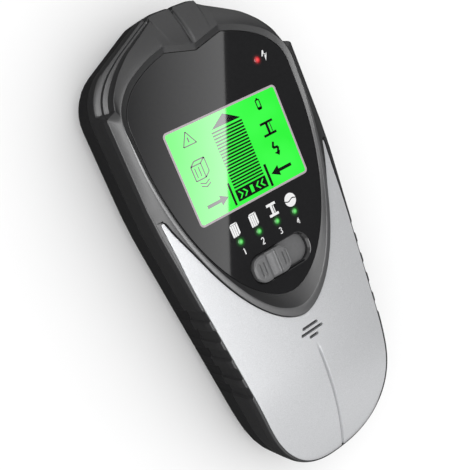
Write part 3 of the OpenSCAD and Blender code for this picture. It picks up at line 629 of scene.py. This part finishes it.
def cut_slots(ob):
    """The sound slots are real openings cut through the cover."""
    tools = []
    for dy, length in SOUND_SLOTS:
        tools.append(prism(round_rect(0, BUZZER_Y + dy, length, SOUND_SLOT_W, 0.49, 6), 24, 30))
    cutter = add_mesh("cutter", *join(*tools), dark_gap)
    mod = ob.modifiers.new("slots", "BOOLEAN")
    mod.object, mod.operation, mod.solver = cutter, "DIFFERENCE", "MANIFOLD"
    done = bpy.data.meshes.new_from_object(ob.evaluated_get(bpy.context.evaluated_depsgraph_get()))
    ob.modifiers.clear()
    ob.data = done
    bpy.data.objects.remove(cutter)
    done.shade_smooth()
    done.set_sharp_from_angle(angle=math.radians(32))


cut_slots(cover)
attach(cover, "case")
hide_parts("silver_cover")

# ---------------------------------------------------------------- window, mask and display
slot_outer = round_rect(0, KNOB_Y, 24.2, 10.0, 4.6, 14)
slot_inner = round_rect(0, KNOB_Y, 22.6, 8.9, 4.0, 14)
lcd_hole = round_rect(0, LCD_Y, LCD_W, LCD_H, 1.45)
glass_rim = WINDOW - (WINDOW - CENTRE) * 0.004
glass_top = WINDOW - (WINDOW - CENTRE) * 0.007
sheet = flat([glass_top, slot_outer[::-1], lcd_hole[::-1]], WINDOW_Z)
skirt = loft([(glass_rim, WINDOW_Z - 1.15), (glass_rim, WINDOW_Z - 0.1), (glass_top, WINDOW_Z)])
so, si = np.array(slot_outer), np.array(slot_inner)
well = loft([(so, WINDOW_Z), (so * 0.75 + si * 0.25, WINDOW_Z - 0.1), (si, WINDOW_Z - 0.75),
             (si, WINDOW_Z - 2.05)])
hole = np.array(lcd_hole)
lcd_wall = loft([(hole, WINDOW_Z), (hole, WINDOW_Z - 0.3)])
window = add_mesh("window_panel", *join(sheet, skirt, well, lcd_wall), panel_black, angle=20)
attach(window, "case")
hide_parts("window_lens", "window_mask")

ring_in = round_rect(0, LCD_Y, LCD_W - 1.35, LCD_H - 1.35, 0.85)
frame_top = flat([lcd_hole, ring_in[::-1]], WINDOW_Z - 0.01)
frame_in = loft([(np.array(ring_in), WINDOW_Z - 0.01), (np.array(ring_in), WINDOW_Z - 0.3)])
lcd_border = add_mesh("display_border", *join(frame_top, frame_in), lcd_rim)
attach(lcd_border, "case")
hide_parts("lcd_frame")

lcd_face = add_mesh("display_glass", *prism(ring_in, WINDOW_Z - 0.35, WINDOW_Z - 0.04), lcd_green)
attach(lcd_face, "case")
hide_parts("lcd_glass")

# The display's and the print's marks are laid out on a grid of this pitch, centred on the display
GRID = 1.0265
INK_Z0, INK_Z1 = WINDOW_Z - 0.06, WINDOW_Z - 0.02


def at(points):
    """Grid points in millimetres."""
    return [(x * GRID, y * GRID + LCD_Y) for x, y in points]


def bar(x0, y0, x1, y1, w):
    """A straight stroke of width w."""
    d = np.array([x1 - x0, y1 - y0], float)
    n = np.array([-d[1], d[0]]) / np.linalg.norm(d) * w / 2
    a, b = np.array([x0, y0]), np.array([x1, y1])
    return [tuple(a - n), tuple(b - n), tuple(b + n), tuple(a + n)]


def ccw(p):
    """The polygon, turned to run anticlockwise."""
    area = sum(p[i][0] * p[(i + 1) % len(p)][1] - p[(i + 1) % len(p)][0] * p[i][1] for i in range(len(p)))
    return p if area > 0 else p[::-1]


def path(points, w, closed=False):
    """Strokes of width w between the points."""
    ends = list(zip(points, points[1:] + (points[:1] if closed else [])))
    if not closed:
        ends = ends[:len(points) - 1]
    return [bar(*a, *b, w) for a, b in ends]


def bolt(cx, cy, h):
    """A lightning stroke ending in an arrow head."""
    w = h * 0.17
    line = path([(cx - 0.02 * h, cy + 0.5 * h), (cx - 0.2 * h, cy + 0.12 * h), (cx + 0.22 * h, cy + 0.06 * h),
                 (cx + 0.06 * h, cy - 0.3 * h)], w)
    head = [(cx - 0.22 * h, cy - 0.24 * h), (cx + 0.1 * h, cy - 0.52 * h), (cx + 0.28 * h, cy - 0.2 * h)]
    return line + [head]


def lcd_marks():
    """Dark segments of the display, each a polygon on the grid."""
    m = []
    m += path([(-13.8, 12.6), (-16.1, 8.6), (-11.5, 8.6)], 0.4, closed=True)
    m += path([(-13.8, 9.4), (-13.8, 10.9)], 0.5)
    m += path([(-16.5, 2.7), (-16.5, -1.7), (-13.0, -1.7), (-13.0, 2.7)], 0.44, closed=True)
    m += path([(-16.5, 2.7), (-14.9, 3.9), (-11.3, 3.9), (-13.0, 2.7)], 0.44)
    m += path([(-13.0, -1.7), (-11.3, -0.4), (-11.3, 3.9)], 0.44)
    m += path([(-15.5, -0.9), (-15.5, 2.0)], 0.4) + path([(-14.2, -0.9), (-14.2, 2.0)], 0.4)
    for cy in (-3.0, -4.0):
        m += path([(-15.6, cy + 0.45), (-13.9, cy - 0.35), (-12.2, cy + 0.45)], 0.42)
    m += [[(-16.5, -9.3), (-16.5, -10.4), (-11.6, -10.4), (-11.6, -9.3)]]
    m += [[(-11.6, -8.2), (-11.6, -11.5), (-8.7, -9.85)]]
    for k in range(19):
        y = 8.8 - 0.955 * k
        m.append([(-5.9, y - 0.27), (5.55, y - 0.27), (5.55, y + 0.27), (-5.9, y + 0.27)])
    m.append([(-5.5, 9.75), (5.4, 9.75), (0.0, 13.0)])
    m += [[(-7.65, -13.3), (-6.9, -13.3), (-6.9, -6.2), (-7.65, -6.2)]]
    m += [[(6.5, -13.3), (7.4, -13.3), (7.4, -6.2), (6.5, -6.2)]]
    m += path([(12.35, 9.4), (12.35, 12.2), (13.7, 12.2), (13.7, 9.4)], 0.38, closed=True)
    m += [[(12.4, 9.1), (13.7, 9.1), (13.7, 10.0), (12.4, 10.0)],
          [(12.7, 12.3), (13.4, 12.3), (13.4, 12.75), (12.7, 12.75)]]
    m += path([(10.7, 4.9), (15.6, 5.0)], 0.75) + path([(10.7, 1.2), (15.6, 1.3)], 0.75)
    m += [[(12.6, 1.2), (13.5, 1.2), (13.5, 5.0), (12.6, 5.0)]] + path([(14.3, 1.8), (14.3, 4.5)], 0.3)
    m += bolt(13.0, -3.5, 4.5)
    m += [[(11.2, -9.35), (16.1, -9.35), (16.1, -10.35), (11.2, -10.35)]]
    m += [[(11.2, -8.2), (8.1, -9.85), (11.2, -11.5)]]
    return m


def strips(marks, z0, z1):
    return join(*[prism(ccw(at(q)), z0, z1) for q in marks])


def centre_bar():
    """Solid bar with cut-out chevrons that point to the middle."""
    border = at([(-6.0, -12.75), (5.65, -12.75), (5.65, -9.15), (-6.0, -9.15)])
    holes = []
    for cx, d in ((-4.4, 1), (-2.6, 1), (2.2, -1), (4.0, -1)):
        a, h, w = 0.55 * d, 1.15, 0.62
        y = -10.95
        holes.append(at([(cx - a - w / 2, y + h), (cx - a + w / 2, y + h), (cx + a + w / 2, y),
                         (cx - a + w / 2, y - h), (cx - a - w / 2, y - h), (cx + a - w / 2, y)]))
    holes.append(at([(-0.75, -12.1), (0.4, -12.1), (0.4, -9.8), (-0.75, -9.8)]))
    v, f = flat([border] + [h[::-1] for h in holes], INK_Z1)
    walls = [loft([(np.array(o), INK_Z0), (np.array(o), INK_Z1)]) for o in [border] + holes]
    return join((v, f), *walls)


ink = join(strips(lcd_marks(), INK_Z0, INK_Z1), centre_bar())
segments = add_mesh("display_segments", *ink, lcd_ink, angle=10)
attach(segments, "case")

# ---------------------------------------------------------------- printed marks
PRINT_Z0, PRINT_Z1 = WINDOW_Z - 0.02, WINDOW_Z + 0.02
DIGITS = {
    1: [[(-0.25, 0.7), (0.1, 1.0), (0.1, -1.0)]],
    2: [[(-0.5, 0.65), (-0.2, 1.0), (0.3, 1.0), (0.5, 0.6), (0.4, 0.1), (-0.5, -1.0), (0.55, -1.0)]],
    3: [[(-0.5, 0.8), (-0.1, 1.0), (0.4, 0.8), (0.4, 0.3), (0.0, 0.05), (0.45, -0.2), (0.45, -0.75), (0.0, -1.0),
         (-0.5, -0.8)]],
    4: [[(0.3, -1.0), (0.3, 1.0), (-0.55, -0.4), (0.6, -0.4)]],
}


def printed_marks():
    """White symbols and numbers printed under the window, each a polygon on the grid."""
    m = []
    for i in (0, 1):
        cx = (i - 1.5) * 7.2 - 0.25
        for k in range(3):
            x = cx - 1.45 + k * 0.72
            m.append([(x, -21.6), (x + 0.62, -21.6), (x + 0.62, -18.0), (x, -18.0)])
        m.append([(cx - 1.4, -17.9), (cx + 0.7, -17.9), (cx + 1.35, -17.5), (cx - 0.8, -17.5)])
        m.append([(cx + 0.78, -21.5), (cx + 1.4, -21.0), (cx + 1.4, -17.7), (cx + 0.78, -18.0)])
    cx = 0.5 * 7.2
    m += [[(cx - 1.75, -18.4), (cx + 1.75, -18.4), (cx + 1.75, -17.6), (cx - 1.75, -17.6)],
          [(cx - 1.75, -21.7), (cx + 1.75, -21.7), (cx + 1.75, -20.9), (cx - 1.75, -20.9)],
          [(cx - 0.55, -20.9), (cx + 0.25, -20.9), (cx + 0.25, -18.4), (cx - 0.55, -18.4)],
          [(cx + 0.5, -20.7), (cx + 0.85, -20.7), (cx + 0.85, -18.6), (cx + 0.5, -18.6)]]
    for i in range(4):
        cx = (i - 1.5) * 7.2
        for stroke in DIGITS[i + 1]:
            m += path([(cx + 0.85 * x, -26.7 + 0.95 * y) for x, y in stroke], 0.34)
    m += [[(21.3, 25.0), (20.5, 23.35), (21.5, 23.35), (21.8, 25.0)],
          [(21.0, 23.35), (21.2, 23.9), (22.7, 23.9), (21.9, 23.35)],
          [(21.6, 23.6), (22.7, 23.9), (21.5, 21.7)]]
    return m


def wave_disc():
    """A disc with a wave-shaped gap across it."""
    cx, cy, r = 10.9, -19.7, 2.15
    upper, lower = [], []
    wave = [(t, 0.32 * math.sin(math.pi * t)) for t in np.linspace(-1, 1, 17)]
    for sign, out in ((1, upper), (-1, lower)):
        pts = [(cx + 0.86 * r * t, cy + v * 1.0 + 0.17 * sign) for t, v in wave]
        arc = [(cx + r * math.cos(a), cy + r * math.sin(a)) for a in np.linspace(0.06, math.pi - 0.06, 25)]
        if sign < 0:
            arc = [(x, 2 * cy - y) for x, y in arc]
        out += pts + arc
    return [upper, lower]


print_parts = strips(printed_marks(), PRINT_Z0, PRINT_Z1)
disc_parts = []
for shape in wave_disc():
    o = ccw(at(shape))
    disc_parts.append(flat([o], PRINT_Z1))
    disc_parts.append(loft([(np.array(o), PRINT_Z0), (np.array(o), PRINT_Z1)]))
prints = add_mesh("printed_marks", *join(print_parts, *disc_parts), white_ink, angle=10)
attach(prints, "case")


def dome(cx, cy, r, z, h, rings=6, n=28):
    """A low round lamp cap standing on height z."""
    parts = []
    for k in range(rings + 1):
        a = math.pi / 2 * k / rings
        c = np.array([(cx + r * math.cos(a) * math.cos(t), cy + r * math.cos(a) * math.sin(t))
                      for t in np.linspace(0, 2 * math.pi, n, endpoint=False)])
        parts.append((c, z + h * math.sin(a)))
    return loft([(parts[0][0], z - 0.4)] + parts, caps=("low",))


LAMP_H = 0.22
mode_domes = [dome(x, y, 1.05, WINDOW_Z, LAMP_H) for x, y in GREEN_SPOTS]
lamps = add_mesh("mode_lamps", *join(*mode_domes), lamp_green)
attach(lamps, "case")
red = add_mesh("warning_lamp", *dome(*WARNING, 1.15, WINDOW_Z, LAMP_H), lamp_red)
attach(red, "case")


# ---------------------------------------------------------------- mode knob
# Finger slots, as parts of the knob's length, with their depth, half width and half length
FINGER_SLOTS = (0.155, 0.265, 0.80, 0.895)
FINGER_DEPTH, FINGER_HALF_W, FINGER_HALF_L = 0.55, 0.024, 2.35


def knob_height(x, y):
    """Height of the knob's top above its edge, x from 0 to KNOB_L."""
    u = x / KNOB_L
    pad1, pad2 = 0.365, 0.955
    h = 1.55
    valley = smooth(u, pad1 - 0.01, pad1 + 0.06) * (1 - smooth(u, 0.60, 0.66))
    h = h - 0.75 * valley + 0.45 * valley * smooth(u, pad1 + 0.05, 0.60)
    h -= 0.5 * np.maximum(0, 1 - np.abs(u - 0.655) / 0.018)
    h -= 0.35 * smooth(u, pad2 - 0.01, pad2 + 0.04)
    for g in FINGER_SLOTS:
        across = np.maximum(0, 1 - (np.abs(u - g) / FINGER_HALF_W) ** 2)
        h -= FINGER_DEPTH * across * smooth(FINGER_HALF_L - abs(y), 0, 0.5)
    return h


def knob_mesh():
    """The knob's cap with its finger pads, and the skirt under it."""
    nx, ny = 170, 44
    w = KNOB_W / 2
    verts, faces = [], []
    r = 3.6
    for i in range(nx + 1):
        x = KNOB_L * i / nx
        end = min(x, KNOB_L - x)
        half = w - (r - math.sqrt(max(0.0, r * r - max(0.0, r - end) ** 2))) if end < r else w
        half = max(half, 0.02)
        for j in range(ny + 1):
            s = -math.cos(math.pi * j / ny)
            y = half * s
            edge = min(end + 0.02, half - abs(y))
            h = float(knob_height(x, y))
            z = WINDOW_Z + h - 0.45 * (1 - float(smooth(edge, 0, 0.75))) - 0.02 * (y / w) ** 2
            verts.append((KNOB_X + x, KNOB_Y + y, z))
    row = ny + 1
    for i in range(nx):
        for j in range(ny):
            a = i * row + j
            faces.append((a, a + row, a + row + 1, a + 1))
    border = ([i * row for i in range(nx + 1)] + [nx * row + j for j in range(1, ny + 1)]
              + [i * row + ny for i in range(nx - 1, -1, -1)] + [j for j in range(ny - 1, 0, -1)])
    base = len(verts)
    for b in border:
        verts.append((verts[b][0], verts[b][1], WINDOW_Z - 2.6))
    n = len(border)
    for k in range(n):
        j = (k + 1) % n
        faces.append((border[k], base + k, base + j, border[j]))
    return verts, faces


knob = add_mesh("mode_knob_cap", *knob_mesh(), knob_grey, angle=40)
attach(knob, "knob")
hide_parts("mode_knob")
shutter_outline = round_rect(-4.2, KNOB_Y, 32.8, 10.6, 1.0)
shutter = add_mesh("knob_shutter", *prism(shutter_outline, 23.1, 24.3, 0.1), knob_grey)
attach(shutter, "knob")

# ---------------------------------------------------------------- materials of the carried-over CAD nodes
CAD_LOOKS = {
    "back_shell": black_side,
    "lcd_backlight": surface("diffuser_white", srgb(225, 230, 225), rough=0.5),
    "zebra_strips": surface("elastomer", srgb(90, 90, 95), rough=0.7, spec=0.2),
    "main_pcb": surface("pcb_green", srgb(20, 90, 45), rough=0.35, vary=0.2, scale=600),
    "mcu_chip": surface("chip_black", srgb(28, 28, 30), rough=0.5),
    "crystal": surface("metal_can", srgb(190, 190, 190), rough=0.25, metallic=0.9, vary=0.04),
    "capacitor": surface("can_blue", srgb(40, 55, 95), rough=0.35),
    "mode_leds": surface("chip_led", srgb(190, 225, 190), rough=0.3),
    "light_pipes": surface("pipe_green", srgb(140, 220, 150), rough=0.2),
    "warning_led": surface("chip_led_red", srgb(225, 150, 150), rough=0.3),
    "warning_light_pipe": surface("pipe_red", srgb(220, 70, 70), rough=0.2),
    "mode_switch_slider": surface("switch_white", srgb(220, 220, 210), rough=0.5),
    "mode_switch_body": surface("switch_steel", srgb(180, 180, 185), rough=0.3, metallic=0.8, vary=0.05),
    "scan_button": surface("button_black", srgb(36, 36, 37), rough=0.6, spec=0.3, bump=0.2),
    "tact_switch_stub": surface("stub_cream", srgb(225, 215, 130), rough=0.5),
    "tact_switch_body": surface("tact_steel", srgb(160, 160, 165), rough=0.35, metallic=0.7, vary=0.05),
    "sensor_board": surface("pcb_blue", srgb(30, 75, 130), rough=0.35, vary=0.2, scale=600),
    "metal_coil": surface("copper_wire", srgb(190, 105, 55), rough=0.3, metallic=0.9, scale=2500, vary=0.25),
    "coil_former": surface("former", srgb(215, 205, 185), rough=0.6),
    "board_header": surface("header_black", srgb(25, 25, 25), rough=0.5),
    "buzzer": surface("brass", srgb(205, 170, 90), rough=0.3, metallic=0.9, vary=0.08),
    "buzzer_leads": surface("lead_yellow", srgb(225, 215, 60), rough=0.5),
    "battery_9v": surface("battery_wrap", srgb(62, 66, 74), rough=0.35, metallic=0.4, vary=0.05),
    "battery_terminals": surface("terminal_nickel", srgb(200, 200, 200), rough=0.25, metallic=0.95, vary=0.05),
    "battery_snap": surface("snap_black", srgb(30, 30, 30), rough=0.6, spec=0.2),
    "lead_red": surface("lead_red", srgb(190, 30, 30), rough=0.5),
    "lead_black": surface("lead_black", srgb(25, 25, 25), rough=0.5),
    "battery_door": surface("door_black", srgb(29, 29, 30), rough=0.55, spec=0.25, vary=0.08, bump=0.15),
    "door_pad": surface("foam", srgb(75, 75, 78), rough=0.95, spec=0.05, vary=0.3, bump=0.6),
    "case_screws": surface("screw_steel", srgb(165, 165, 170), rough=0.3, metallic=0.9, vary=0.06),
    "pcb_screws": surface("screw_steel_small", srgb(165, 165, 170), rough=0.3, metallic=0.9, vary=0.06),
    "sensor_screws": surface("screw_steel_inner", srgb(165, 165, 170), rough=0.3, metallic=0.9, vary=0.06),
}
for node, mat in CAD_LOOKS.items():
    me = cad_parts[node].data
    me.materials.clear()
    me.materials.append(mat)
    me.shade_smooth()
    me.set_sharp_from_angle(angle=math.radians(30))

# ---------------------------------------------------------------- floor, light and camera
scene = bpy.context.scene
scene.view_settings.view_transform = "Standard"


def stage_plane(name, corners, mat):
    """A four-cornered plane, for the floor or a light card."""
    me = bpy.data.meshes.new(name)
    me.from_pydata([tuple(c) for c in corners], [], [(0, 1, 2, 3)])
    me.materials.append(mat)
    ob = bpy.data.objects.new(name, me)
    scene.collection.objects.link(ob)
    return ob


floor_mat = surface("floor_white", (0.93, 0.93, 0.93, 1), rough=0.9, spec=0.0, scale=20, vary=0.004)
floor = stage_plane("floor", [(-3, -3, -0.0003), (3, -3, -0.0003), (3, 3, -0.0003), (-3, 3, -0.0003)], floor_mat)
floor.visible_glossy = False

world = bpy.data.worlds.new("studio")
scene.world = world
world.use_nodes = True
sky = world.node_tree.nodes["Background"]
sky.inputs["Color"].default_value = (1, 1, 1, 1)
sky.inputs["Strength"].default_value = 1.16


def card_material(name, low, high, axis_from, axis_to):
    """Light card whose strength runs from low to high between two points."""
    m = bpy.data.materials.new(name)
    m.use_nodes = True
    nt = m.node_tree
    nt.nodes.clear()
    out = nt.nodes.new("ShaderNodeOutputMaterial")
    em = nt.nodes.new("ShaderNodeEmission")
    coord = nt.nodes.new("ShaderNodeTexCoord")
    a, b = np.array(axis_from, float), np.array(axis_to, float)
    d = b - a
    sub = nt.nodes.new("ShaderNodeVectorMath")
    sub.operation = "SUBTRACT"
    sub.inputs[1].default_value = tuple(a)
    dot = nt.nodes.new("ShaderNodeVectorMath")
    dot.operation = "DOT_PRODUCT"
    dot.inputs[1].default_value = tuple(d / (d @ d))
    ramp = nt.nodes.new("ShaderNodeMapRange")
    ramp.inputs["To Min"].default_value = low
    ramp.inputs["To Max"].default_value = high
    nt.links.new(coord.outputs["Object"], sub.inputs[0])
    nt.links.new(sub.outputs["Vector"], dot.inputs[0])
    nt.links.new(dot.outputs["Value"], ramp.inputs["Value"])
    nt.links.new(ramp.outputs["Result"], em.inputs["Strength"])
    nt.links.new(em.outputs["Emission"], out.inputs["Surface"])
    return m


EYE = np.array([-124.1, 58.3, 230.3])
MIRROR_EYE = np.array([EYE[0], EYE[1], 2 * WINDOW_Z - EYE[2]])


def reflected(x, y, t=3.0):
    """Where the card must be to be seen mirrored at panel point (x, y)."""
    p = np.array([x, y, WINDOW_Z])
    return (MIRROR_EYE + (p - MIRROR_EYE) * t) * MM


glare_top, glare_low = np.array([11.6, 65.4]), np.array([-18.5, -1.1])
along = (glare_top - glare_low) / np.linalg.norm(glare_top - glare_low)
left_dir = np.array([-along[1], along[0]])
g0, g1 = glare_low - along * 25, glare_top + along * 25
corners = [reflected(*g0), reflected(*g1), reflected(*(g1 + left_dir * 60)), reflected(*(g0 + left_dir * 60))]
glare_mat = card_material("glare_card", 2.9, 0.35, reflected(*glare_low), reflected(*(glare_low + left_dir * 33)))
glare = stage_plane("glare_card", corners, glare_mat)


def card(name, centre, size, strength):
    """An evenly lit card that faces the object."""
    c, t = Vector(centre), Vector((0, 0, 0.02))
    m = card_material(name, strength, strength, (0, 0, 0), (0, 0, 1))
    q = (t - c).to_track_quat("-Z", "Y").to_matrix()
    w, h = size[0] / 2, size[1] / 2
    pts = [c + q @ Vector(v) for v in ((-w, -h, 0), (w, -h, 0), (w, h, 0), (-w, h, 0))]
    return stage_plane(name, pts, m)


def flag(name, centre, size):
    """A nearly black card."""
    return card(name, centre, size, 0.03)


flag_corners = [reflected(*p) for p in (g1, g0, g0 - left_dir * 62, g1 - left_dir * 62)]
glare_flag = stage_plane("glare_flag", flag_corners,
                         card_material("glare_flag", 0.05, 0.05, (0, 0, 0), (0, 0, 1)))
right_flag = flag("right_flag", (0.85, -0.1, 0.55), (1.4, 1.0))
floor_flag = stage_plane("floor_flag", [(-2, -2, -0.0002), (2, -2, -0.0002), (2, 2, -0.0002), (-2, 2, -0.0002)],
                         card_material("floor_flag", 0.05, 0.05, (0, 0, 0), (0, 0, 1)))
key = card("key_card", (-0.25, 0.02, 0.75), (0.6, 0.9), 8.0)
side = card("side_card", (-0.9, -0.1, 0.25), (0.9, 0.6), 3.0)
for c in (glare, glare_flag, right_flag, floor_flag, key, side):
    c.visible_camera = False
    c.visible_diffuse = False
    c.visible_shadow = False

cam = bpy.data.cameras.new("camera")
cam.lens, cam.sensor_width = 60.4, 36.0
cam.clip_start, cam.clip_end = 0.01, 20
cam_ob = bpy.data.objects.new("camera", cam)
scene.collection.objects.link(cam_ob)
right, up, back = (0.7686, -0.3791, 0.5153), (0.4331, 0.9012, 0.0170), (-0.4709, 0.2101, 0.8568)
rot = Matrix((right, up, back)).transposed().to_4x4()
cam_ob.matrix_world = Matrix.Translation(Vector(EYE * MM)) @ rot
scene.camera = cam_ob
